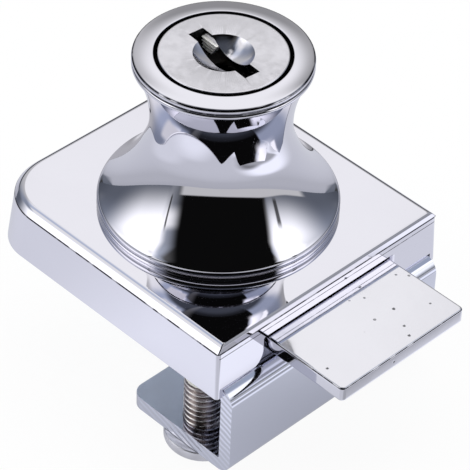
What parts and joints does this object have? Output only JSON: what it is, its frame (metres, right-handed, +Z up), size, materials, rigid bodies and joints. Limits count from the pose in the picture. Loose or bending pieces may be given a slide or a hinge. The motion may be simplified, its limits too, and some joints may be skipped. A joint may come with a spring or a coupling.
{
  "type": "glass cabinet door lock",
  "caption": "Keyed bolt lock for a glass cabinet door: waisted cylinder on a flat base, sliding bolt driven by a cam, and a bent clamp whose screws grip the edge of the glass.",
  "frame": {"origin": "on the key's axis, at the glass face under the pad", "axes": "+Z up out of the glass along the key's axis, +X along the bolt as it leaves the base"},
  "size_m": [0.0513, 0.0364, 0.0439],
  "materials": {
    "chrome": "mirror-polished plating",
    "plug_chrome": "bright plating, finely brushed face",
    "clamp_chrome": "bright plating over rolled sheet",
    "plated_steel": "plated, with fine pits",
    "zinc_steel": "zinc-plated",
    "screw_steel": "zinc-plated",
    "nickel_screw": "nickel-plated thread",
    "wafer_metal": "stamped nickel silver",
    "spring_steel": "drawn wire",
    "rubber_pad": "pale, soft, matt",
    "tip_plastic": "matt"
  },
  "bodies": {
    "lock": {"base_case": "chrome", "cylinder_housing": "chrome", "housing_screws": "screw_steel", "back_plate": "zinc_steel", "back_plate_screws": "screw_steel", "clamp_bracket": "clamp_chrome", "bracket_screws": "screw_steel", "glass_pad": "rubber_pad"},
    "plug": {"plug": "plug_chrome", "cam": "zinc_steel", "cam_screw": "screw_steel", "wafer_spring_1": "spring_steel", "wafer_spring_2": "spring_steel", "wafer_spring_3": "spring_steel", "wafer_spring_4": "spring_steel", "wafer_spring_5": "spring_steel"},
    "bolt": {"bolt": "plated_steel"},
    "wafer_1": {"wafer_1": "wafer_metal"},
    "wafer_2": {"wafer_2": "wafer_metal"},
    "wafer_3": {"wafer_3": "wafer_metal"},
    "wafer_4": {"wafer_4": "wafer_metal"},
    "wafer_5": {"wafer_5": "wafer_metal"},
    "tip_left": {"screw_tip_left": "tip_plastic"},
    "screw_left": {"clamp_screw_left": "nickel_screw"},
    "tip_right": {"screw_tip_right": "tip_plastic"},
    "screw_right": {"clamp_screw_right": "nickel_screw"}
  },
  "joints": [
    {"name": "plug_turn", "type": "hinge", "parent": "lock", "child": "plug", "pos_m": [0, 0, 0], "axis": [0, 0, 1], "range_deg": [0, 90]},
    {"name": "bolt_slide", "type": "slide", "parent": "lock", "child": "bolt", "axis": [1, 0, 0], "range_m": [-0.01, 0]},
    {"name": "wafer_1_slide", "type": "slide", "parent": "plug", "child": "wafer_1", "axis": [0.9952, -0.0976, 0], "range_m": [0, 0.0009], "deforming": ["wafer_spring_1"]},
    {"name": "wafer_2_slide", "type": "slide", "parent": "plug", "child": "wafer_2", "axis": [0.9952, -0.0976, 0], "range_m": [0, 0.0009], "deforming": ["wafer_spring_2"]},
    {"name": "wafer_3_slide", "type": "slide", "parent": "plug", "child": "wafer_3", "axis": [0.9952, -0.0976, 0], "range_m": [0, 0.0009], "deforming": ["wafer_spring_3"]},
    {"name": "wafer_4_slide", "type": "slide", "parent": "plug", "child": "wafer_4", "axis": [0.9952, -0.0976, 0], "range_m": [0, 0.0009], "deforming": ["wafer_spring_4"]},
    {"name": "wafer_5_slide", "type": "slide", "parent": "plug", "child": "wafer_5", "axis": [0.9952, -0.0976, 0], "range_m": [0, 0.0009], "deforming": ["wafer_spring_5"]},
    {"name": "screw_left_feed", "type": "slide", "parent": "lock", "child": "tip_left", "axis": [0, 0, 1], "range_m": [-0.0062, 0]},
    {"name": "screw_left_turn", "type": "hinge", "parent": "tip_left", "child": "screw_left", "pos_m": [0.0121, -0.0134, 0], "axis": [0, 0, 1], "range_deg": [-2790, 0]},
    {"name": "screw_right_feed", "type": "slide", "parent": "lock", "child": "tip_right", "axis": [0, 0, 1], "range_m": [-0.0062, 0]},
    {"name": "screw_right_turn", "type": "hinge", "parent": "tip_right", "child": "screw_right", "pos_m": [0.0121, 0.0134, 0], "axis": [0, 0, 1], "range_deg": [-2790, 0]}
  ],
  "couplings": [
    {"joint": "plug_turn", "follows": "bolt_slide", "rad_per_m": -157.08},
    {"joint": "screw_left_turn", "follows": "screw_left_feed", "rad_per_m": 7854},
    {"joint": "screw_right_turn", "follows": "screw_right_feed", "rad_per_m": 7854}
  ]
}
